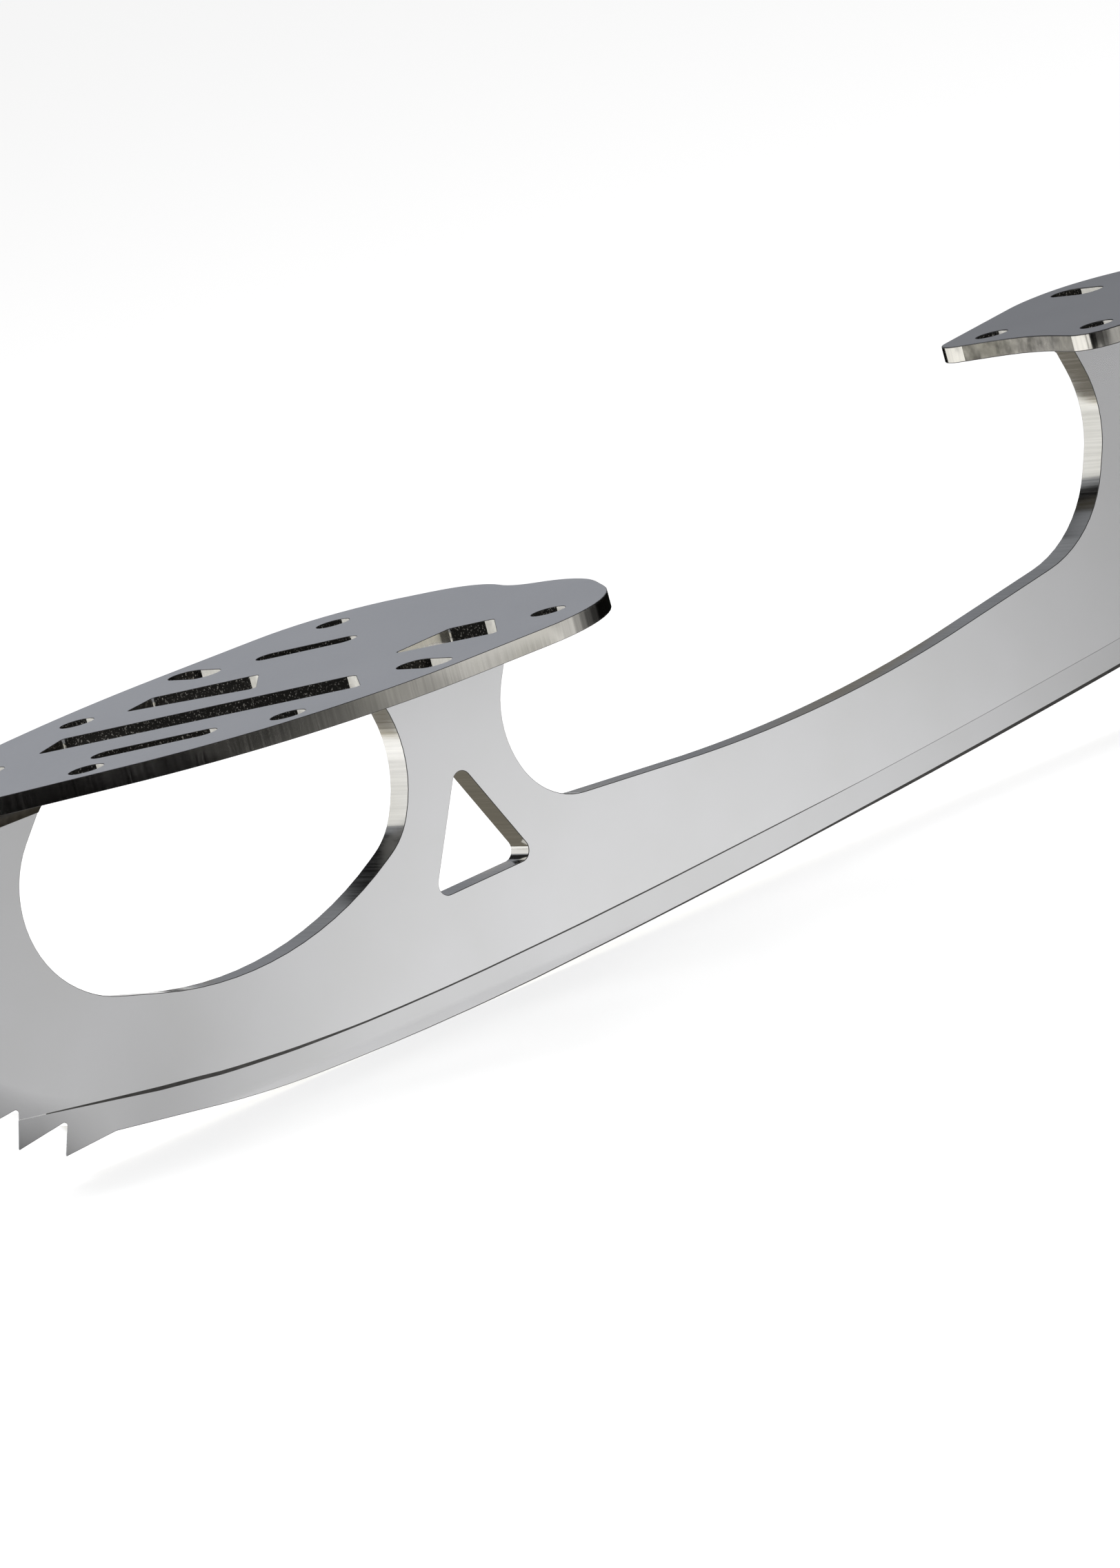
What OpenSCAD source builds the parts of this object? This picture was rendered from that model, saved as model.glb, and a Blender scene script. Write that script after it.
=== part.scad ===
// Figure skate blade: a steel blade with its toe pick, a sole plate, a heel plate and the brazed
// seams that hold the plates on the blade's three feet. Sizes are millimetres and degrees.
// X runs from the toe to the heel, Y across the foot and Z up. The lowest point of the cutting edge
// is at Z 0, and the origin lies midway between the ends. Until they are placed, all pieces are
// measured along X from the ball line, which crosses the two wide screw slots of the sole plate.

/* [Blade] */
// Thickness of the steel
blade_t = 3.8; // [3.2:0.1:4.6]
// From the ball line back to the end of the tail
tail_reach = 196.5; // [190:0.5:206]
// Height of the end of the tail
tail_h = 14; // [11:0.5:17]
// Height of the top of the bar where it is lowest
bar_z = 19; // [16:0.1:22]
// Height of the bottom of the toe opening
opening_z = 16.2; // [14:0.1:19]

/* [Cutting edge] */
// Radius of the main rocker
main_rocker_r = 2134; // [1800:1:2600]
// Radius of the edge under the ball of the foot
ball_rocker_r = 520; // [450:1:650]
// Radius of the spin rocker behind the toe pick
spin_rocker_r = 160; // [130:1:220]
// Height of the ground band above the edge
band_h = 3.7; // [2.5:0.1:5]
// How far the band is ground back on each side
band_cut = 0.15; // [0.1:0.05:0.3]

/* [Toe pick] */
// Number of teeth
teeth = 5; // [4:1:6]
// From the ball line forward to the tip of the drag tooth
pick_reach = 55.1; // [53:0.1:58]
// Height of the tip of the drag tooth
pick_z = 3.4; // [2.5:0.1:4.5]
// Distance between the tips of two teeth
tooth_pitch = 7; // [6:0.1:7.6]
// Depth of the notches between the teeth
tooth_depth = 5.2; // [4:0.1:6]
// Turn from each tooth to the next
tooth_turn = 11.5; // [9:0.5:12]

/* [Sole plate] */
// Height of the face that meets the boot's sole
sole_z = 48.9; // [46:0.1:53]
// Width of the plate
sole_w = 64.6; // [58:0.2:72]
// Thickness of both plates
plate_t = 2.3; // [1.8:0.1:3]
// Width of the large slots
slot_w = 7.4; // [6:0.1:8.6]
// Width of the thin slots
thin_slot_w = 3.9; // [3:0.1:4.6]

/* [Heel plate] */
// Height of the face that meets the boot's heel
heel_z = 55.4; // [52:0.1:60]
// Width of the plate
heel_w = 52.2; // [48:0.2:58]
// From the ball line back to the plate's front edge
heel_start = 127.8; // [126:0.1:130]
// Length of the plate
heel_l = 52.6; // [50:0.2:56]

/* [Screw holes] */
// Diameter of the screw holes
screw_d = 4.5; // [3.8:0.1:5]
// Length of the slots for setting the blade sideways
set_slot_l = 8.8; // [7:0.1:10]
// Diameter of the countersinks under the plates
sink_d = 7.6; // [6.5:0.1:8.4]
// Distance between the rear and the front pair of outer holes in the sole plate
sole_hole_l = 42.6; // [40:0.1:44]
// Distance across the outer holes in the sole plate
sole_hole_w = 46; // [44:0.1:48]
// Distance across the holes at the front of the heel plate
heel_hole_w = 21.6; // [20:0.1:23]

/* [Hidden] */

steel = [0.79, 0.79, 0.80];
plate_grey = [0.55, 0.56, 0.59];
braze_grey = [0.68, 0.66, 0.62];

$fn = 64;
arc_step = 6;
arc_chord = 3;
spill = 10;
sole_under = sole_z - plate_t;
heel_under = heel_z - plate_t;

// Outlines with rounded corners: each corner is [x, y, radius]

function point(c) = [c[0], c[1]];
function unit(v) = v / norm(v);
function half_angle(a, b, c) = acos(unit(point(a) - point(b)) * unit(point(c) - point(b))) / 2;
function side(a, b) = norm(point(b) - point(a));
function reach(a, b, c) = b[2] == 0 ? 0 : b[2] / tan(half_angle(a, b, c));

// How far each corner's arc reaches along its sides
function reaches(p) = [for (i = [0:len(p) - 1])
    i == 0 || i == len(p) - 1 ? 0 : reach(p[i - 1], p[i], p[i + 1])];

// The arc that touches both sides of corner b, made smaller by the share k where a side is short
function arc(a, b, c, k) =
    b[2] == 0 ? [point(b)] :
    let (u = unit(point(a) - point(b)), v = unit(point(c) - point(b)), h = half_angle(a, b, c),
         r = b[2] * k, centre = point(b) + unit(u + v) * r / sin(h),
         first = point(b) + u * r / tan(h) - centre,
         turn = sign(cross(v, u)) * (2 * h - 180) * -1,
         steps = max(2, ceil(abs(turn) / arc_step), ceil(abs(turn) * PI / 180 * r / arc_chord)))
    [for (i = [0:steps]) let (t = turn * i / steps)
        centre + [first[0] * cos(t) - first[1] * sin(t), first[0] * sin(t) + first[1] * cos(t)]];

// A path with sharp ends and rounded corners between them
function rounded_path(p) =
    let (d = reaches(p))
    [for (i = [0:len(p) - 1]) each
        i == 0 || i == len(p) - 1 ? [point(p[i])] :
        arc(p[i - 1], p[i], p[i + 1], min(1, 0.999 * side(p[i - 1], p[i]) / (d[i - 1] + d[i]),
                                          0.999 * side(p[i], p[i + 1]) / (d[i] + d[i + 1])))];

// A closed outline: the path starts and ends halfway along the first side
function rounded_loop(p) =
    let (m = concat((point(p[0]) + point(p[len(p) - 1])) / 2, 0))
    rounded_path(concat([m], p, [m]));

module obround(l, w) {
    square([l - w, w], center = true);
    for (x = [-1, 1]) translate([x * (l - w) / 2, 0]) circle(d = w);
}

// Cutting edge: four arcs and a straight, each starting in the direction in which the last one ends

low_x = 2.5;
ball_end_x = 25;
ball_start_x = -15;
spin_start_x = -30;
relief_x = -47;
relief_rise = 0.2;

ball_end_a = asin((ball_end_x - low_x) / ball_rocker_r);
ball_start_a = asin((ball_start_x - low_x) / ball_rocker_r);
tail_a = asin(sin(ball_end_a) + (tail_reach - ball_end_x) / main_rocker_r);
spin_start_a = asin(sin(ball_start_a) + (spin_start_x - ball_start_x) / spin_rocker_r);

// Height gained by an arc of radius r between two directions
function climb(r, from, to) = r * (cos(from) - cos(to));
ball_end_z = climb(ball_rocker_r, 0, ball_end_a);
ball_start_z = climb(ball_rocker_r, 0, ball_start_a);
tail_z = ball_end_z + climb(main_rocker_r, ball_end_a, tail_a);
spin_start_z = ball_start_z + climb(spin_rocker_r, ball_start_a, spin_start_a);
relief_z = spin_start_z + (relief_x - spin_start_x) * tan(spin_start_a) + relief_rise;

// An arc of the edge from the point p, between two directions
function run(p, r, from, to, steps) = [for (i = [1:steps]) let (a = from + (to - from) * i / steps)
    [p[0] + r * (sin(a) - sin(from)), p[1] + r * (cos(from) - cos(a))]];

function edge() = concat(
    [[spin_start_x, spin_start_z]],
    run([spin_start_x, spin_start_z], spin_rocker_r, spin_start_a, ball_start_a, 6),
    run([ball_start_x, ball_start_z], ball_rocker_r, ball_start_a, 0, 6),
    run([low_x, 0], ball_rocker_r, 0, ball_end_a, 6),
    run([ball_end_x, ball_end_z], main_rocker_r, ball_end_a, tail_a, 30));

// Toe pick: the tips climb a curve that turns up, and the notches lean back into the blade

drag_depth = 4.5;
first_climb = 26;
first_lean = 22;
lean_turn = 5;
tip_r = 0.12;
notch_r = 0.45;
drag_tip = [-pick_reach, pick_z];

function tip(k) = k == 0 ? drag_tip :
    tip(k - 1) + tooth_pitch * [-cos(first_climb + tooth_turn * (k - 1)), sin(first_climb + tooth_turn * (k - 1))];
function notch(k) = tip(k) + (k == 0 ? drag_depth : tooth_depth)
    * [sin(first_lean - lean_turn * k), cos(first_lean - lean_turn * k)];

top_tip = tip(teeth - 1);
front_x = top_tip[0];
centre_x = (front_x + tail_reach) / 2;

// Tips and notches from the top tooth down to the drag tooth
function pick() = concat(
    [concat(top_tip, tip_r)],
    [for (k = [teeth - 2:-1:0]) each [concat(notch(k), notch_r), concat(tip(k), tip_r)]]);

// Edge of the toe above the pick: it leans back and curves into the front foot
foot_reach = 52.3;
toe_top_r = 2.6;
toe_hollow_r = 26;
function toe() = [[-foot_reach + 3, sole_under + 4, 0],
    [-foot_reach - 7.5, sole_under - 7.5, toe_hollow_r],
    [front_x, top_tip[1] + 5, toe_top_r]];

// Toe opening, between the front leg and the rear leg
function toe_opening() = [[0.2, sole_under + 4.1, 0], [16.6, sole_under - 4.6, 16.9],
    [6.4, opening_z + 8.1, 9.7], [-14.8, opening_z - 4, 50], [-44.3, opening_z + 4.2, 14.6],
    [-57.6, sole_under - 15.1, 13.4], [-40.9, sole_under + 3.4, 0]];

// Gap above the bar, from the heel foot forward to the rear leg
function bar_gap() = [[135.4, heel_under + 2.6, 0], [139.9, heel_under - 10.5, 16.4],
    [132.3, bar_z + 6.8, 17.6], [79.5, bar_z - 1.4, 233.5], [30, bar_z + 2.2, 10.4],
    [25, sole_under - 13.6, 13], [33.6, sole_under + 2, 0]];

// Tail, and the rear edge of the heel foot
tail_r = 4.5;
foot_end = heel_start + heel_l - 8.5;
function tail() = [[tail_reach, tail_z, 1.5], [tail_reach, tail_z + tail_h, tail_r],
    [foot_end - 6, tail_z + tail_h - 2.5, 13], [foot_end - 8.5, heel_under - 11, 14],
    [foot_end + 2, heel_under + 2, 0]];

// The points of a list without some at its start and at its end
function middle(p, first, last) = [for (i = [first:len(p) - 1 - last]) p[i]];

function side_outline() = concat(
    rounded_path(concat(toe(), pick(), [[relief_x, relief_z, 1.5], [spin_start_x, spin_start_z, 0]])),
    middle(edge(), 1, 2),
    rounded_path(concat([concat(edge()[len(edge()) - 2], 0)], tail())),
    rounded_path(bar_gap()),
    rounded_path(toe_opening()));

// Triangular window in the rear leg
window_side = 17.4;
window_r = 1.5;
window_x = 17.5;
window_z = 15.2;
module window() {
    h = window_side * 0.92;
    translate([window_x, window_z]) rotate(1.6)
        polygon(rounded_loop([[-window_side / 2, 0, window_r], [window_side / 2, 0, window_r],
                              [0.7, h, window_r]]));
}

// The blade seen from its side, trimmed flush with the undersides of the plates
module side_view() {
    split_x = (tip(0)[0] + tail_reach) / 2;
    difference() {
        polygon(side_outline());
        window();
        translate([front_x - spill, sole_under]) square([split_x - front_x + spill, 2 * spill]);
        translate([split_x, heel_under]) square([tail_reach - split_x + spill, 2 * spill]);
    }
}

// The part of the side view above the ground band, whose line keeps a constant distance to the edge
seam_rise = 0.16;
module above_band() {
    seam = [for (p = middle(edge(), 0, 1)) p + [0, band_h]];
    start = seam[0];
    stop_x = tail_reach + spill;
    end_x = tip(1)[0] - 1;
    polygon(concat(seam, [[stop_x, tail_z + band_h + spill * tan(tail_a)], [stop_x, heel_z],
        [front_x - spill, heel_z], [front_x - spill, 0], [end_x, 0],
        [end_x, start[1] + (start[0] - end_x) * seam_rise]]));
}

module stand_up(t) {
    rotate([90, 0, 0]) linear_extrude(t, center = true) children();
}

module placed() {
    translate([-centre_x, 0, 0]) children();
}

// One steel plate on edge: feet, legs, bar, tail and toe pick
module blade() {
    color(steel) placed() {
        stand_up(blade_t - 2 * band_cut) side_view();
        stand_up(blade_t) intersection() {
            side_view();
            above_band();
        }
    }
}

// Plan of the sole plate. It is fuller at the toe on the inner side of the foot, which is at +Y.
nose_y = 3;
nose_reach = 59.2;
module sole_outline() {
    w = sole_w / 2;
    polygon(rounded_loop([[-nose_reach, nose_y, 7], [-23.2 - (w - 32.3), -w, 60], [27.4, -w, 22],
        [39.7, -9.4, 20], [36, 1.5, 14], [39.5, 12.5, 17], [27.6, w, 20], [-12, w, 110],
        [-34.5 - (w - 32.3), w - 5, 25]]));
}

// Plan of the heel plate, hollowed at its front edge
module heel_outline() {
    w = heel_w / 2;
    a = heel_start;
    b = heel_start + heel_l;
    half = [[a - 0.6, w - 10.3, 4.6], [a + 26, w, 20], [a + 36, w, 14], [b, w - 16, 9]];
    polygon(rounded_loop(concat([[a + 3.2, 0, 26]], half,
        [for (i = [3:-1:0]) [half[i][0], -half[i][1], half[i][2]]])));
}

module countersunk_hole(x, y) {
    sink = (sink_d - screw_d) / 2;
    translate([x, y, -spill]) cylinder(d = screw_d, h = 2 * spill);
    translate([x, y, -1]) cylinder(d = sink_d + 2, h = 1);
    translate([x, y, 0]) cylinder(d1 = sink_d, d2 = screw_d, h = sink);
}

module set_slot(x, y) {
    translate([x, y, -spill]) linear_extrude(2 * spill) rotate(90) obround(set_slot_l, screw_d);
}

// Slots that lighten the sole plate. They lie at one angle and keep clear of the feet. A wide slot
// grows wider by its spread towards the rear end, and both its ends are cut at a slant.
slot_angle = -53;
slot_r = 0.7;
module wide_slot(x, y, l, w, spread, front_slant, rear_slant, rear_r) {
    translate([x, y]) rotate(slot_angle) polygon(rounded_loop([
        [-l / 2, -w / 2, slot_r], [l / 2, -w / 2 - spread, slot_r],
        [l / 2 - rear_slant, w / 2, rear_r], [-l / 2 + front_slant, w / 2, slot_r]]));
}

module thin_slot(x, y, l) {
    translate([x, y]) rotate(slot_angle) obround(l, thin_slot_w);
}

module sole_plate() {
    color(plate_grey) placed() translate([0, 0, sole_under]) difference() {
        linear_extrude(plate_t) difference() {
            sole_outline();
            wide_slot(-17.7, -2.5, 43.8, slot_w, 1.7, 1, 3.1, 1.5);
            wide_slot(-7.8, 12.3, 18.9, slot_w - 1.1, 3.7, 1.8, 2.5, 0.9);
            wide_slot(13.8, -14.3, 14.3, slot_w + 2.4, 1.2, 5.1, 3.2, 0.9);
            thin_slot(-30.8, -8.6, 16.6);
            thin_slot(10.6, 13.6, 13.8);
        }
        for (x = [-1, 1], y = [-1, 1]) countersunk_hole(1 + x * sole_hole_l / 2, y * sole_hole_w / 2);
        for (y = [-1, 1]) countersunk_hole(-41, nose_y + y * 11);
        for (y = [-1, 1]) set_slot(0.3, y * 24.8);
    }
}

module heel_plate() {
    color(plate_grey) placed() translate([0, 0, heel_under]) difference() {
        linear_extrude(plate_t) heel_outline();
        for (y = [-1, 1]) {
            countersunk_hole(heel_start + 6.3, y * heel_hole_w / 2);
            countersunk_hole(heel_start + heel_l - 8.5, y * 9.5);
            set_slot(heel_start + 29.8, y * 18);
        }
    }
}

// Brazed seam along both sides of a foot, hollow between the plate above and the blade beside it
braze_r = 1.7;
braze_lip = 0.15;
front_leg_end = -30;
middle_leg_start = -10;
middle_leg_end = 50;
module braze(from_x, to_x, under) {
    color(braze_grey) placed() intersection() {
        for (s = [-1, 1]) translate([from_x, s * blade_t / 2, under]) scale([1, s, 1])
            rotate([90, 0, 90]) linear_extrude(to_x - from_x) difference() {
                translate([0, -braze_r]) square(braze_r);
                translate([braze_r, -braze_r]) circle(r = braze_r - braze_lip);
            }
        stand_up(blade_t + 2 * spill) side_view();
    }
}

module front_braze() {
    braze(front_x, front_leg_end, sole_under);
}

module middle_braze() {
    braze(middle_leg_start, middle_leg_end, sole_under);
}

module heel_braze() {
    braze(heel_start, heel_start + heel_l, heel_under);
}

blade();
sole_plate();
heel_plate();
front_braze();
middle_braze();
heel_braze();
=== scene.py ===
import math

import bmesh
import bpy
from mathutils import Matrix, Vector


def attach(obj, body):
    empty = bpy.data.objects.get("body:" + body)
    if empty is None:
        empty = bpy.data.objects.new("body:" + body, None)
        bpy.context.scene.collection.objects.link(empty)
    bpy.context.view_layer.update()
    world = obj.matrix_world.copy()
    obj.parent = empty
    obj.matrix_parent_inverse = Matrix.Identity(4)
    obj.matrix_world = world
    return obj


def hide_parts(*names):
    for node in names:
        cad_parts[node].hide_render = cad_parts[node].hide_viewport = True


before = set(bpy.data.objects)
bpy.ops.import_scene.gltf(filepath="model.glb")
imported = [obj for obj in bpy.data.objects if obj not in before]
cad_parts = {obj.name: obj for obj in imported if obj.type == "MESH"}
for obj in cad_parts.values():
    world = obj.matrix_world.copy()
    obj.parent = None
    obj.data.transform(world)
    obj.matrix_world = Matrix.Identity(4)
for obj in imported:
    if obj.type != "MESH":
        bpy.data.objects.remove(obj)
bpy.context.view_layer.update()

# Camera: it stands 1 m away on the near side of the blade, ahead of the toe, looks slightly down and
# is tipped, so that the blade climbs across the picture from the toe pick to the heel.
MM = 0.001
photo_width_px = 1624
focal_px = 10680.6
view_azimuth = math.radians(-36.626)
view_elevation = math.radians(10.284)
view_roll = math.radians(-15.049)
view_distance = 956.9 * MM
aim = Vector((-26.59, 0, 22.5)) * MM


def add_object(name, data):
    """Puts a camera, a lamp or a mesh into the scene."""
    obj = bpy.data.objects.new(name, data)
    bpy.context.scene.collection.objects.link(obj)
    return obj


back = Vector((math.sin(view_azimuth) * math.cos(view_elevation),
               -math.cos(view_azimuth) * math.cos(view_elevation),
               math.sin(view_elevation)))
level = Vector((math.cos(view_azimuth), math.sin(view_azimuth), 0))
untipped = Matrix((level, back.cross(level), back)).transposed()
turned = untipped @ Matrix.Rotation(view_roll, 3, "Z")
camera_data = bpy.data.cameras.new("camera")
camera_data.sensor_fit = "HORIZONTAL"
camera_data.sensor_width = 36
camera_data.lens = focal_px * camera_data.sensor_width / photo_width_px
camera_data.clip_start = 10 * MM
camera = add_object("camera", camera_data)
camera.matrix_world = Matrix.Translation(aim + back * view_distance) @ turned.to_4x4()
bpy.context.scene.camera = camera

# Studio: a white paper floor that glows a little to the eye, a white surround that lights the steel
# from all sides, and four soft lamps.
bpy.context.scene.view_settings.view_transform = "Standard"
floor_size = 6
paper_colour = (0.8, 0.8, 0.8, 1)
paper_glow = 0.62
surround_light = 0.45
surround_seen = 1


def mesh_from(name, bm):
    """Turns an edited mesh into a finished one."""
    mesh = bpy.data.meshes.new(name)
    bm.to_mesh(mesh)
    bm.free()
    return mesh


def empty_tree(owner, output):
    """Clears the nodes of a material or a world and gives it a new output node."""
    owner.use_nodes = True
    owner.node_tree.nodes.clear()
    return owner.node_tree, owner.node_tree.nodes.new("ShaderNode" + output)


def feed(tree, node, inputs):
    """Sets a node's inputs, each to a value or from another node's socket."""
    for name, source in inputs.items():
        if isinstance(source, bpy.types.NodeSocket):
            tree.links.new(source, node.inputs[name])
        else:
            node.inputs[name].default_value = source


def add_node(tree, kind, inputs, operation=None):
    """Adds a shader node and returns its first output."""
    node = tree.nodes.new("ShaderNode" + kind)
    if operation:
        node.operation = operation
    feed(tree, node, inputs)
    return node.outputs[0]


def either(tree, first, second):
    """1 where one of two rays' marks is 1."""
    total = tree.nodes.new("ShaderNodeMath")
    total.operation = "ADD"
    total.use_clamp = True
    feed(tree, total, {0: first, 1: second})
    return total.outputs[0]


def mix_by_ray(tree, out, light, seen):
    """Shows one shader to the rays that carry light and another to the eye and to mirrors."""
    ray = tree.nodes.new("ShaderNodeLightPath").outputs
    bent = either(tree, ray["Is Glossy Ray"], ray["Is Transmission Ray"])
    seeing = either(tree, ray["Is Camera Ray"], bent)
    feed(tree, out, {"Surface": add_node(tree, "MixShader", {"Fac": seeing, 1: light, 2: seen})})


bm = bmesh.new()
bmesh.ops.create_grid(bm, x_segments=1, y_segments=1, size=floor_size / 2)
floor = add_object("floor", mesh_from("floor", bm))

paper = bpy.data.materials.new("white_paper")
tree, out = empty_tree(paper, "OutputMaterial")
matt = add_node(tree, "BsdfDiffuse", {"Color": paper_colour})
glow = add_node(tree, "Emission", {"Strength": paper_glow})
mix_by_ray(tree, out, matt, add_node(tree, "AddShader", {0: matt, 1: glow}))
floor.data.materials.append(paper)

world = bpy.data.worlds.new("white_surround")
bpy.context.scene.world = world
tree, out = empty_tree(world, "OutputWorld")
mix_by_ray(tree, out, add_node(tree, "Background", {"Strength": surround_light}),
           add_node(tree, "Background", {"Strength": surround_seen}))


def lamp(name, place, size, power):
    """A square lamp that faces the object."""
    data = bpy.data.lights.new(name, "AREA")
    data.size = size
    data.energy = power
    obj = add_object(name, data)
    obj.location = place
    obj.rotation_euler = (aim - Vector(place)).to_track_quat("-Z", "Y").to_euler()


lamp("key_lamp", (1.0, -1.1, 0.7), 1.0, 2.2)
lamp("fill_lamp", (-1.0, -0.6, 0.6), 0.8, 0.6)
lamp("top_lamp", (0.1, 0.3, 1.4), 1.2, 2.4)
lamp("toe_lamp", (-0.35, 0.25, 0.42), 0.25, 1.1)

# Grey cloth tent and cards: the cloth hangs round the table from just above the paper, so that faces
# that look up mirror grey cloth and upright faces mirror white paper. Cards beside the camera and
# behind the blade put dark bands in the polished edges. Only mirror rays see them.
tent_radius = 1.5
tent_start = 0.03
tent_tint = (0.94, 0.98, 1.08)
black = (0.003, 0.003, 0.003)
brown = (0.20, 0.185, 0.155)


def for_mirrors_only(name, bm, colour=black):
    """Hangs a glowing cloth that only mirror rays see, and returns its nodes and their glow."""
    obj = add_object(name, mesh_from(name, bm))
    obj.visible_camera = False
    obj.visible_diffuse = False
    obj.visible_shadow = False
    cloth = bpy.data.materials.new(name)
    tree, out = empty_tree(cloth, "OutputMaterial")
    glow = tree.nodes.new("ShaderNodeEmission")
    feed(tree, glow, {"Color": (*colour, 1)})
    feed(tree, out, {"Surface": glow.outputs[0]})
    obj.data.materials.append(cloth)
    return tree, glow


def spread_over(tree, value, reach, result=(0, 1)):
    """Turns a reach of a value into another, and holds its ends beyond it."""
    return add_node(tree, "MapRange", {
        "Value": value, "From Min": reach[0], "From Max": reach[1],
        "To Min": result[0], "To Max": result[1]})


def shade_over(tree, distance, stops, tint=(1, 1, 1)):
    """A colour that changes with a distance: each stop holds millimetres and a brightness."""
    start, end = stops[0][0], stops[-1][0]
    share = spread_over(tree, distance, (start * MM, end * MM))
    shade = tree.nodes.new("ShaderNodeValToRGB")
    feed(tree, shade, {"Fac": share})
    marks = shade.color_ramp.elements
    for number, (place, value) in enumerate(stops):
        at = (place - start) / (end - start)
        mark = marks[number] if number < 2 else marks.new(at)
        mark.position = at
        mark.color = (*[value * part for part in tint], 1)
    return shade.outputs["Color"]


def grade(card, turn, stops, tint=(1, 1, 1)):
    """Shades a card along a level line, turned from +X."""
    tree, glow = card
    place = tree.nodes.new("ShaderNodeTexCoord").outputs["Object"]
    turned = add_node(tree, "Mapping", {"Rotation": (0, 0, turn), "Vector": place})
    along = add_node(tree, "SeparateXYZ", {0: turned})
    feed(tree, glow, {"Color": shade_over(tree, along, stops, tint)})


bm = bmesh.new()
bmesh.ops.create_uvsphere(bm, u_segments=48, v_segments=24, radius=tent_radius)
bmesh.ops.bisect_plane(bm, geom=bm.verts[:] + bm.edges[:] + bm.faces[:],
                       plane_co=(0, 0, tent_start), plane_no=(0, 0, 1), clear_inner=True)
tent = for_mirrors_only("grey_tent", bm)
grade(tent, 0, [(-1500, 0.27), (600, 0.27), (820, 0.27), (1000, 0.19), (1500, 0.19)], tent_tint)


def flat_card(name, corners, colour=black, height=1):
    """A level card with the given corners and height above the paper, in millimetres."""
    bm = bmesh.new()
    bm.faces.new([bm.verts.new((x * MM, y * MM, height * MM)) for x, y in corners])
    return for_mirrors_only(name, bm, colour)


# The blade's near side mirrors this card: its shades run from the toe to the heel.
side_turn = math.atan(-0.75)
side_card = flat_card("graded_card", ((-250, -210), (400, -210), (400, -4), (-250, -4)))
grade(side_card, side_turn, [
    (-130, 0.60), (-93, 0.71), (-84, 0.6), (-78, 0.66), (-74, 0.735), (-62, 0.86), (-50, 0.96),
    (-34, 0.97), (-28, 1.02), (2, 0.98), (22, 0.885), (44, 0.74), (56, 0.62), (90, 0.5)])

# The plates' upright edges mirror these cards, which lie further from the blade.
flat_card("upper_card", ((130, -211), (400, -211), (400, -260), (190, -260)), (0.78, 0.78, 0.78), 2)
front_card = flat_card("front_card", ((-700, -700), (500, -700), (500, -211), (-700, -211)))
grade(front_card, 0, [
    (-700, 0.02), (-290, 0.045), (-250, 0.05), (-186, 0.045), (-110, 0.12), (-50, 0.21), (0, 0.42),
    (40, 0.4), (75, 0.44), (92, 0.68), (115, 0.56), (123, 0.7), (150, 1.05), (190, 0.7),
    (230, 0.2), (500, 0.2)])
flat_card("left_card", ((-1450, -900), (-180, -210), (-180, -50), (-1450, -100)), black, 2)

# The cut edges of the legs and of the heel's stanchion mirror these cards behind the blade.
leg_turn = math.atan2(-0.77, -0.64)
stanchion_turn = math.atan2(-0.69, -0.72)
flat_card("brown_card", ((-75, 15), (60, 15), (60, 85), (-75, 85)), brown)
leg_shelf = flat_card("leg_shelf", ((-57, 30), (-66, 25), (-90, 52), (-81, 61)), height=19)
grade(leg_shelf, leg_turn, [(60, 0.2), (85, 0.2), (99, 0.9)], (1, 0.93, 0.78))
stanchion_shelf = flat_card("stanchion_shelf", ((66, 26), (58, 20), (2, 66), (10, 73)), height=30)
grade(stanchion_shelf, stanchion_turn, [(-30, 0.2), (0, 0.2), (44, 1)], (1, 0.93, 0.8))
flat_card("back_card", ((20, 110), (20, 700), (600, 700), (600, 110)), black)


def standing_card(name, azimuth, elevation, colour, distance=0.7):
    """A card that faces the object, between two azimuths and two elevations in degrees."""
    middle = math.radians(sum(azimuth) / 2)
    width = 2 * distance * math.tan(math.radians(azimuth[1] - azimuth[0]) / 2)
    low, high = (distance * math.tan(math.radians(angle)) for angle in elevation)
    bm = bmesh.new()
    bmesh.ops.create_grid(bm, x_segments=1, y_segments=1, size=0.5)
    bmesh.ops.rotate(bm, matrix=Matrix.Rotation(math.radians(90), 3, "X"), verts=bm.verts)
    bmesh.ops.scale(bm, vec=(width, 1, high - low), verts=bm.verts)
    bmesh.ops.translate(bm, vec=(0, distance, (high + low) / 2), verts=bm.verts)
    bmesh.ops.rotate(bm, matrix=Matrix.Rotation(-middle, 3, "Z"), verts=bm.verts)
    for_mirrors_only(name, bm, colour)


# A white card and three dark flags stand behind the blade.
standing_card("white_card", (-66, -25), (1, 31), (1.05, 1.05, 1.05))
standing_card("black_flag", (-31, -10), (33.5, 38.8), black)
standing_card("tall_flag", (-10, 16), (33.5, 42), black)
standing_card("brown_flag", (-31, -10), (38.8, 44), (0.05, 0.045, 0.035))


def corner_card(name, places, colour, heights=(45.7, 48.4)):
    """A narrow upright card through the given places, close to the edge of the sole plate."""
    bm = bmesh.new()
    low, high = [[bm.verts.new((x * MM, y * MM, z * MM)) for x, y in places] for z in heights]
    for k in range(len(places) - 1):
        bm.faces.new((low[k], low[k + 1], high[k + 1], high[k]))
    for_mirrors_only(name, bm, colour)


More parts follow.
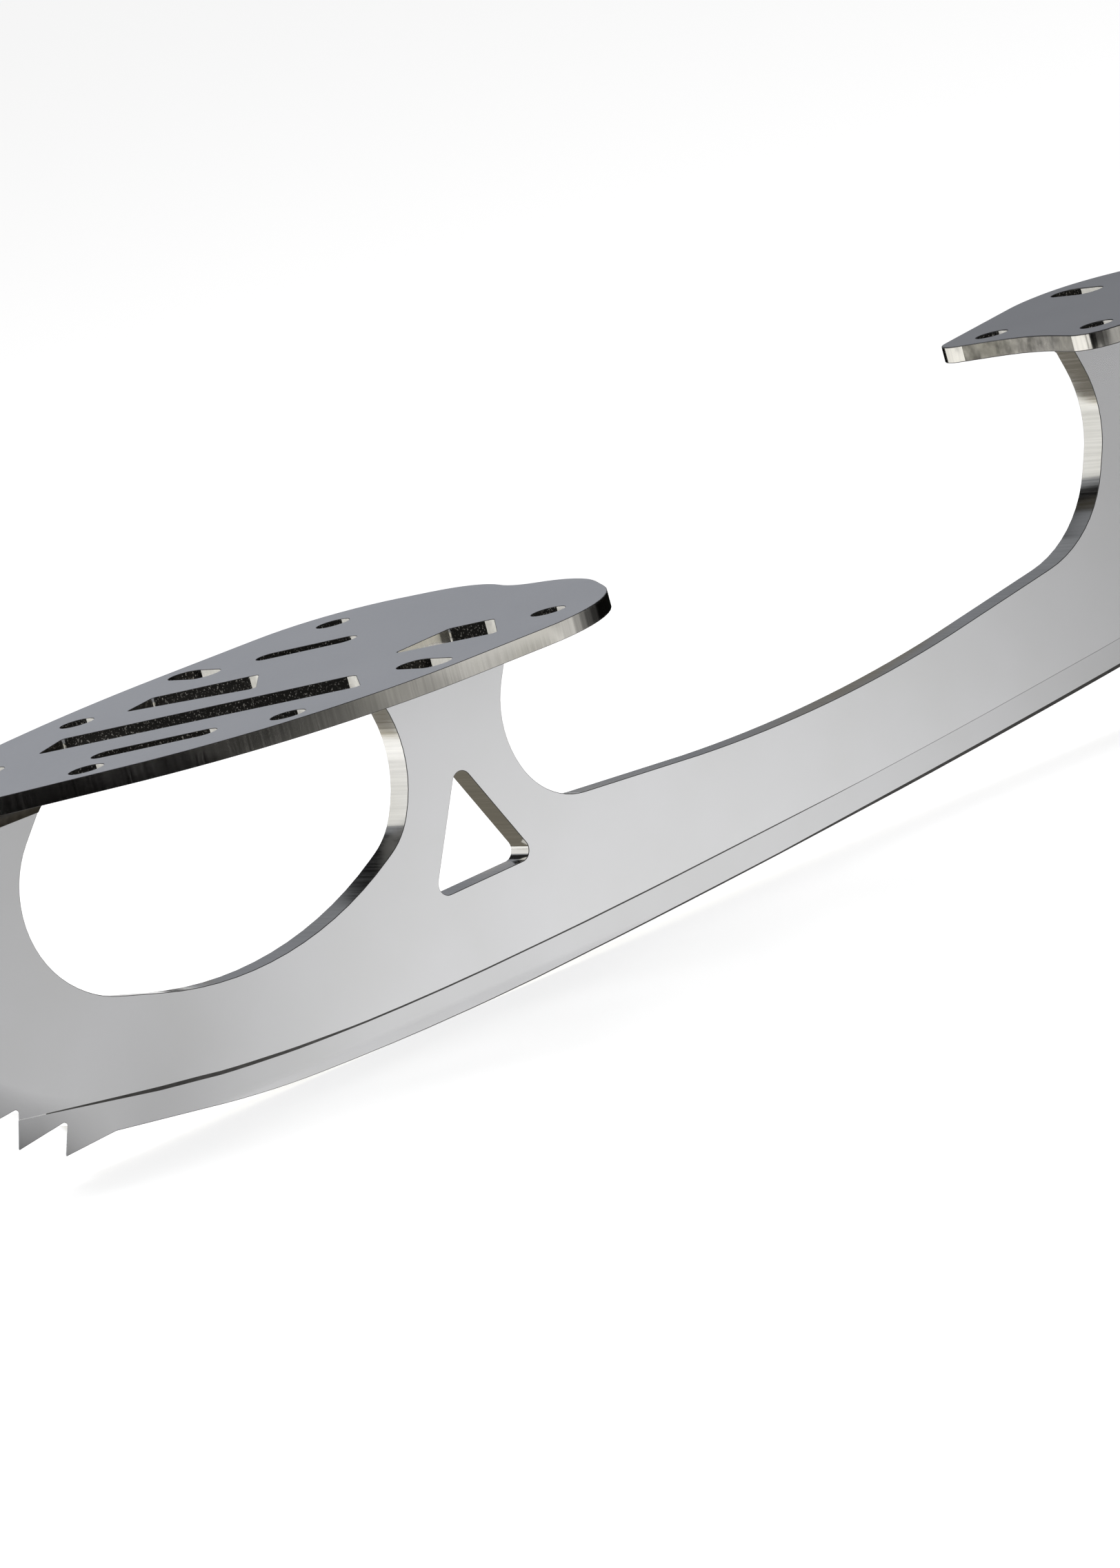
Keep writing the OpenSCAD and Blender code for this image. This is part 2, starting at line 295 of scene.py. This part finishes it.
# The sole plate's rear outer corner darkens step by step as it turns away from the camera.
corner_places = ((-41.5, -34.2), (-38.6, -33.3), (-36.6, -32.7), (-34.8, -32.0), (-33.0, -30.8),
                 (-31.4, -29.3))
corner_greys = (0.72, 0.42, 0.2, 0.08, 0.03)
for number, grey in enumerate(corner_greys):
    corner_card("corner_grey_%d" % number, corner_places[number:number + 2], (grey, grey, grey))
corner_card("corner_black", (corner_places[-1], (-28.9, -26.2), (-27.5, -22)), (0.002, 0.002, 0.002))

# Blade: one plate of hardened steel, cut to its outline, ground flat and plated on its sides. The
# band along the edge is ground back, and the cut edges keep the cutter's fine marks.
blade_soft = 0.17 * MM
edge_top = 16
hollow_depth = 0.12 * MM
hollow_shares = (-0.8, -0.4, 0, 0.4, 0.8)
ledge_rows = [
    (-125, 0.05, 0.15), (-117, 0.08, 0.15), (-106, 0.19, 0.38), (-100, 0.27, 0.53),
    (-94, 0.46, 0.55), (-84, 0.62, 0.47), (-76, 0.55, 0.39), (-68, 0.41, 0.28), (-40, 0.47, 0.24),
    (-28, 0.36, 0.25), (2, 0.28, 0.22), (14, 0.14, 0.15), (22, 0.06, 0.1), (140, 0.02, 0.09)]
ledge_cuts = (-117, -113, -109, -106, -103, -100, -97, -94)
rim_rows = [
    (-80, 0), (-60, 0.03), (-40, 0.08), (-12, 0.17), (8, 0.17), (25, 0.36), (60, 0.42),
    (120, 0.42), (140, 0)]
facing, upright = 0.97, 0.2


def cut_faces(bm, faces, place, across):
    """Cuts faces along a plane and returns their parts."""
    edges = (e for f in faces for e in f.edges)
    verts = (v for f in faces for v in f.verts)
    cut = bmesh.ops.bisect_plane(bm, geom=list({*faces, *edges, *verts}), plane_co=place,
                                 plane_no=across)
    return [part for part in cut["geom"] if isinstance(part, bmesh.types.BMFace)]


def hollow_out(bm, depth):
    """Grinds a shallow hollow along the cutting edge, from behind the toe pick to the tail, between
    its two sharp rims."""
    pick_end, rim_place = -108.5 * MM, 1.7 * MM
    low = [f for f in bm.faces
           if f.normal.z < -facing and f.calc_center_median().z < edge_top * MM
           and f.calc_center_median().x > pick_end and all(abs(v.co.y) < rim_place for v in f.verts)]
    half = max(abs(v.co.y) for f in low for v in f.verts)
    for x in sorted({round(v.co.x, 5) for f in low for v in f.verts})[1:-1]:
        low = cut_faces(bm, low, (x, 0, 0), (1, 0, 0))
    for share in hollow_shares:
        low = cut_faces(bm, low, (0, share * half, 0), (0, 1, 0))
    for vert in {v for f in low for v in f.verts}:
        vert.co.z += depth * max(0, 1 - (vert.co.y / half) ** 2)


def between(rows, x):
    """The values of a table at a place along the blade, in millimetres."""
    x = min(max(x, rows[0][0]), rows[-1][0])
    for (x0, *first), (x1, *second) in zip(rows, rows[1:]):
        if x0 <= x <= x1:
            return [a + (b - a) * (x - x0) / (x1 - x0) for a, b in zip(first, second)]


def widen_rim(bm, rows):
    """Raises the top of the rim along the cutting edge, which widens the painted shade line that the
    rim carries. Each row holds a place along the blade and the rise there, in millimetres."""
    rim_middle, rim_top = 1.76, 1.745
    mark = bm.faces.layers.int["slope"]
    tops = set()
    for face in bm.faces:
        x, y, z = face.calc_center_median() / MM
        on_edge = x > rows[0][0] and z < edge_top and abs(y) < rim_middle
        if on_edge and 0.85 < abs(face.normal.y) < facing and face.normal.z < -upright:
            face[mark] = 2
            tops |= {v for v in face.verts if abs(v.co.y) > rim_top * MM}
    for vert in tops:
        vert.co.z += between(rows, vert.co.x / MM)[0] * MM


def slope_ledge(bm, rows):
    """Turns the narrow ledge above the ground band into a slope and returns its edges. Each row holds
    a place along the blade, how far the slope's top lies above the ledge there, and the slope's
    height, in millimetres."""
    ledge_inside, ledge_outside, last_cut = 1.8 * MM, 1.85 * MM, -90 * MM
    mark = bm.faces.layers.int.new("slope")

    def ledges():
        return [f for f in bm.faces if f.normal.z < -0.9 and abs(f.normal.y) < upright
                and ledge_inside < abs(f.calc_center_median().y) < ledge_outside]

    for x in ledge_cuts:
        front = [f for f in ledges() if f.calc_center_median().x < last_cut]
        cut_faces(bm, front, (x * MM, 0, 0), (1, 0, 0))
    slopes = ledges()
    for face in slopes:
        face[mark] = 1
    for vert in {v for f in slopes for v in f.verts}:
        top, height = between(rows, vert.co.x / MM)
        vert.co.z += (top - height if abs(vert.co.y) < ledge_inside else top) * MM
    bm.normal_update()
    return {e for f in slopes for e in f.edges}


def shaped_copy(node, soft, segments=2, ledge=None, rim=None):
    """A copy of a solid with merged, flat faces and softened edges, to stand in for it."""
    same_place = 0.002 * MM
    still_flat, corner, crease = math.radians(0.5), math.radians(32), math.radians(50)
    bm = bmesh.new()
    bm.from_mesh(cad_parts[node].data)
    bmesh.ops.remove_doubles(bm, verts=bm.verts, dist=same_place)
    bmesh.ops.dissolve_limit(bm, angle_limit=still_flat, verts=bm.verts, edges=bm.edges)
    kept = slope_ledge(bm, ledge) if ledge else set()
    corners = [e for e in bm.edges
               if e.is_manifold and e not in kept and e.calc_face_angle() > corner]
    bmesh.ops.bevel(bm, geom=corners, offset=soft, offset_type="OFFSET", segments=segments,
                    profile=0.5, affect="EDGES", material=-1, clamp_overlap=True)
    if rim:
        hollow_out(bm, hollow_depth)
        widen_rim(bm, rim)
    mark = bm.faces.layers.int.get("slope")
    for face in bm.faces:
        face.smooth = True
    for edge in bm.edges:
        slopes = [f for f in edge.link_faces if mark and f[mark]]
        edge.smooth = edge.calc_face_angle(0) < crease and len(slopes) != 1
    piece = add_object(node + "_steel", mesh_from(node + "_steel", bm))
    flat = piece.modifiers.new("flat_faces", "WEIGHTED_NORMAL")
    flat.keep_sharp = True
    flat.weight = 100
    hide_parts(node)
    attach(piece, "root")
    return piece


def mix_colours(tree, share, first, second, blend="MIX"):
    """Mixes two colours by a share of the second."""
    mix = tree.nodes.new("ShaderNodeMix")
    mix.data_type = "RGBA"
    mix.blend_type = blend
    feed(tree, mix, {"Factor": share, "A": first, "B": second})
    return mix.outputs["Result"]


def steel(name, colour, roughness, grain, uneven=0.1, depth=0.004, stain=0.0, rub=0.06, metallic=1,
          specks=None):
    """Steel whose grain repeats so many times a millimetre along X, Y and Z and stands up by a depth
    in millimetres. Uneven is the grain's change of brightness, stain that of the soft clouds, and rub
    the change of roughness. Specks hold the part of the grain that shows and its two brightnesses."""
    grain_reach, cloud_reach, clouds_a_metre = (0.3, 0.7), (0.35, 0.65), 70
    material = bpy.data.materials.new(name)
    tree, out = empty_tree(material, "OutputMaterial")
    place = tree.nodes.new("ShaderNodeTexCoord").outputs["Object"]
    stretched = add_node(tree, "Mapping", {"Scale": [g / MM for g in grain], "Vector": place})
    fine = add_node(tree, "TexNoise", {"Scale": 1, "Detail": 5, "Vector": stretched})
    clouds = add_node(tree, "TexNoise", {
        "Scale": clouds_a_metre, "Detail": 4, "Vector": place})
    shade = spread_over(tree, fine, *(specks or (grain_reach, (1 - uneven, 1 + uneven))))
    red, green, blue = colour
    stained = (red * (1 - stain), green * (1 - stain), blue * (1 - 1.4 * stain), 1)
    clear = (*[part * (1 + stain / 2) for part in colour], 1)
    tone = mix_colours(tree, spread_over(tree, clouds, cloud_reach), stained, clear)
    base = add_node(tree, "VectorMath", {0: tone, "Scale": shade}, "SCALE")
    half_clouds = add_node(tree, "Math", {0: clouds, 1: 0.5}, "MULTIPLY")
    wear = add_node(tree, "Math", {0: fine, 1: 0.5, 2: half_clouds}, "MULTIPLY_ADD")
    dull = spread_over(tree, wear, grain_reach, (max(roughness - rub, 0.05), roughness + rub))
    relief = add_node(tree, "Bump", {"Strength": 1, "Distance": depth * MM, "Height": fine})
    shader = add_node(tree, "BsdfPrincipled", {
        "Metallic": metallic, "Base Color": base, "Roughness": dull, "Normal": relief})
    feed(tree, out, {"Surface": shader})
    return material


FLAT, CUT, RIM = 0, 1, 2


def finish_by_direction(piece, along, flat, cut, rim):
    """The flat faces across an axis get one finish, the cut walls the next and the rims between the
    last."""
    for material in (flat, cut, rim):
        piece.data.materials.append(material)
    for face in piece.data.polygons:
        turn = abs(face.normal[along])
        face.material_index = FLAT if turn > facing else CUT if turn < upright else RIM


def paint_shade_on_pick(material, centre, stops):
    """Paints shade into the steel's colour towards the tips of the toe pick, by the distance from the
    centre of the curve that the tips lie on. Each stop holds millimetres and a brightness."""
    pick_rear, pick_front = -108 * MM, -118 * MM
    tree = material.node_tree
    shader = tree.nodes["Principled BSDF"]
    bare = shader.inputs["Base Color"].links[0].from_socket
    place = tree.nodes.new("ShaderNodeTexCoord").outputs["Object"]
    beside = add_node(tree, "VectorMath", {0: place, 1: (1, 0, 1)}, "MULTIPLY")
    reach = tree.nodes.new("ShaderNodeVectorMath")
    reach.operation = "DISTANCE"
    feed(tree, reach, {0: beside, 1: (centre[0] * MM, 0, centre[1] * MM)})
    shade = shade_over(tree, reach.outputs["Value"], stops)
    along = add_node(tree, "SeparateXYZ", {0: place})
    on_pick = spread_over(tree, along, (pick_rear, pick_front))
    feed(tree, shader, {"Base Color": mix_colours(tree, on_pick, bare, shade, "MULTIPLY")})


blade = shaped_copy("blade", blade_soft, ledge=ledge_rows, rim=rim_rows)
side_grain = (0.05, 1, 4)
edge_grain = (3, 0.05, 3)
satin_steel = steel("satin_steel", (0.70, 0.70, 0.708), 0.26, side_grain, 0.002, 0.00002, 0.02, 0.004)
band_steel = steel("band_steel", (0.66, 0.66, 0.667), 0.26, side_grain, 0.002, 0.00002, 0.02, 0.004)
# The side steels get painted shade, darker towards the toe pick's tips.
tips_centre = (-102.8, 37.3)
pick_painted_shades = [(29, 1), (31, 0.8), (33, 0.67), (34.5, 0.55), (36.3, 0.36)]
for material in (satin_steel, band_steel):
    paint_shade_on_pick(material, tips_centre, pick_painted_shades)
across_steel = steel("across_steel", (0.67, 0.66, 0.63), 0.13, edge_grain, 0.1, 0.001, 0.06)
# The rims between the faces are painted near black: painted shade lines along the edges.
painted_shade_rim = steel("painted_shade_rim", (0.07, 0.068, 0.065), 0.35, (0.8, 0.8, 0.8), 0.2, 0.001)
finish_by_direction(blade, 1, satin_steel, across_steel, painted_shade_rim)
# The tooth fronts get near-white steel as a painted highlight; their rims get a plain lighter steel.
LIT_FRONT, GROUND_RIM, BAND = 3, 4, 5
for material in (steel("painted_highlight_front", (0.98, 0.98, 0.98), 0.2, edge_grain, 0.02, 0.0003),
                 steel("ground_rim", (0.62, 0.62, 0.62), 0.3, edge_grain, 0.02, 0.0003),
                 band_steel):
    blade.data.materials.append(material)
slopes = blade.data.attributes["slope"].data
# Behind this place the ledge's slope and the raised rim carry the painted shade line; on the toe pick
# they stay lighter.
dark_slope_start = -117
teeth_end, teeth_top = -110, 18
band_half = 1.85
for face in blade.data.polygons:
    x, y, z = face.center / MM
    on_tooth_front = face.normal.x < -0.3 and x < teeth_end and z < teeth_top
    if slopes[face.index].value:
        face.material_index = RIM if x > dark_slope_start else GROUND_RIM
    elif face.material_index == FLAT and abs(y) < band_half:
        face.material_index = BAND
    elif face.material_index != FLAT and on_tooth_front:
        face.material_index = LIT_FRONT if face.material_index == CUT else GROUND_RIM

# Sole plate: pressed steel, 2.3 mm thick, with a blasted matt finish. The walls inside its slots and
# holes that face the viewer are painted dark as shade, with painted glints, and their right ends get
# painted light.
plate_soft = 0.12 * MM
plate_grain = (4, 4, 4)
plate_steel = steel("plate_steel", (0.58, 0.59, 0.615), 0.4, plate_grain, 0.04, 0.0015, metallic=0.6)
upright_steel = steel("upright_steel", (0.66, 0.64, 0.60), 0.11, (3, 3, 0.05), 0.08, 0.0008, 0.1)
# Painted shade for the walls inside the openings, with bright specks as painted glints.
painted_shade_walls = steel("painted_shade_walls", (0.4, 0.385, 0.35), 0.35, (5, 5, 4),
                   specks=((0.58, 0.74), (0.07, 1.6)))
# Painted light for the right ends of the walls inside the openings.
painted_light_ends = steel("painted_light_ends", (0.95, 0.93, 0.86), 0.5, (2, 2, 2), 0.08, 0.001, metallic=0.1)
# Painted shade for the plates' underside, darker than their tops.
painted_shade_under = steel("painted_shade_under", (0.2, 0.2, 0.21), 0.45, plate_grain, 0.06, 0.0015, 0.1,
                    metallic=0.8)
DARK, END, UNDER = 3, 4, 5
to_viewer, right = Vector((-0.8, -0.6, 0)), Vector((0.8, -0.6, 0))
long_way = Vector((0.6, -0.8, 0))
long_slot, thin_slot, set_slot = 12 * MM, 9 * MM, 6 * MM
long_end = 1.3 * MM
thin_share, set_share, hole_share = 0.94, 0.62, 0.76


def rings_of(mesh):
    """The cut walls by their number, and the ring that each belongs to: one ring goes round each
    opening and one round the plate."""
    walls = {f.index: f for f in mesh.polygons if f.material_index == CUT}
    edges = {}
    for index, wall in walls.items():
        for key in wall.edge_keys:
            edges.setdefault(key, []).append(index)
    ring = {}
    for start in walls:
        todo = [] if start in ring else [start]
        while todo:
            index = todo.pop()
            if index not in ring:
                ring[index] = start
                todo += [n for key in walls[index].edge_keys for n in edges[key]]
    return walls, ring


def ring_ends(mesh, walls, ring, along):
    """Where each ring starts and ends along a direction."""
    places = {}
    for index, start in ring.items():
        verts = [mesh.vertices[v].co for v in walls[index].vertices]
        places.setdefault(start, []).extend(co.dot(along) for co in verts)
    return {start: (min(found), max(found)) for start, found in places.items()}


def finish_openings(piece):
    """Gives the underside painted shade, and the far walls inside the slots and holes that face the
    viewer painted shade with painted glints. Their right ends get painted light: the last stretch of
    a long slot, and what lies past a share of the width of a thin slot, a slot for set screws or a
    hole."""
    mesh = piece.data
    for material in (painted_shade_walls, painted_light_ends, painted_shade_under):
        mesh.materials.append(material)
    walls, ring = rings_of(mesh)
    length = {start: high - low
              for start, (low, high) in ring_ends(mesh, walls, ring, Vector((1, 0, 0))).items()}
    outline = max(length, key=length.get)
    faced = {index for index, wall in walls.items()
             if ring[index] != outline and wall.normal.dot(to_viewer) > 0.1}
    end = {}
    for index in {index for index in faced if walls[index].normal.dot(to_viewer) > 0.6}:
        far = max(mesh.vertices[v].co.dot(long_way) for v in walls[index].vertices)
        end[ring[index]] = max(far, end.get(ring[index], far))
    sides = ring_ends(mesh, walls, ring, right)
    bm = bmesh.new()
    bm.from_mesh(mesh)
    bm.faces.ensure_lookup_table()
    for face in bm.faces:
        if face.normal.z < -facing:
            face.material_index = UNDER
    for face, start in [(bm.faces[index], ring[index]) for index in faced]:
        if length[start] > long_slot:
            run, limit, least_turn = long_way, end[start] - long_end, 0.85
        else:
            low, high = sides[start]
            width = high - low
            share = thin_share if width > thin_slot else set_share if width > set_slot else hole_share
            run, limit, least_turn = right, low + width * share, 0.1
        turned = face.normal.dot(to_viewer)
        for part in cut_faces(bm, [face], run * limit, run):
            if part.calc_center_median().dot(run) > limit:
                part.material_index = END
            elif turned > least_turn:
                part.material_index = DARK
    bm.to_mesh(mesh)
    bm.free()


sole_plate = shaped_copy("sole_plate", plate_soft)
finish_by_direction(sole_plate, 2, plate_steel, upright_steel, painted_shade_rim)
finish_openings(sole_plate)

# Heel plate: the same steel as the sole plate, painted darker as shade, and browned by the flame on
# its front edge where it is brazed to the heel's foot.
heel_plate = shaped_copy("heel_plate", plate_soft)
painted_shade_heel = steel("painted_shade_heel", (0.42, 0.425, 0.44), 0.4, plate_grain, 0.04, 0.0015, metallic=0.6)
browned_steel = steel("browned_steel", (0.23, 0.22, 0.2), 0.25, (0.7, 0.7, 0.5), 0.5, 0.004, 0.2)
browned_from, browned_to = -9.8, 10.9
front_end = 72 * MM
BROWNED = 6
finish_by_direction(heel_plate, 2, painted_shade_heel, upright_steel, painted_shade_rim)
finish_openings(heel_plate)
heel_plate.data.materials.append(browned_steel)


def front_walls(bm):
    """The upright faces at the front of the heel plate that look straight ahead."""
    return [f for f in bm.faces if f.material_index == CUT and f.normal.x < -0.9
            and f.calc_center_median().x < front_end]


bm = bmesh.new()
bm.from_mesh(heel_plate.data)
cut_faces(bm, front_walls(bm), (0, browned_to * MM, 0), (0, 1, 0))
for face in front_walls(bm):
    if browned_from < face.calc_center_median().y / MM < browned_to:
        face.material_index = BROWNED
bm.to_mesh(heel_plate.data)
bm.free()

# Brazed seams: silver solder, drawn into the corners between the feet and the plates, painted near
# black as the shade in those corners.
seam_soft = 0.03 * MM
painted_shade_solder = steel("painted_shade_solder", (0.05, 0.044, 0.038), 0.35, (0.9, 0.9, 0.9), 0.3, 0.02, 0.4)
for name in ("front_braze", "middle_braze", "heel_braze"):
    seam = shaped_copy(name, seam_soft, segments=1)
    seam.data.materials.append(painted_shade_solder)
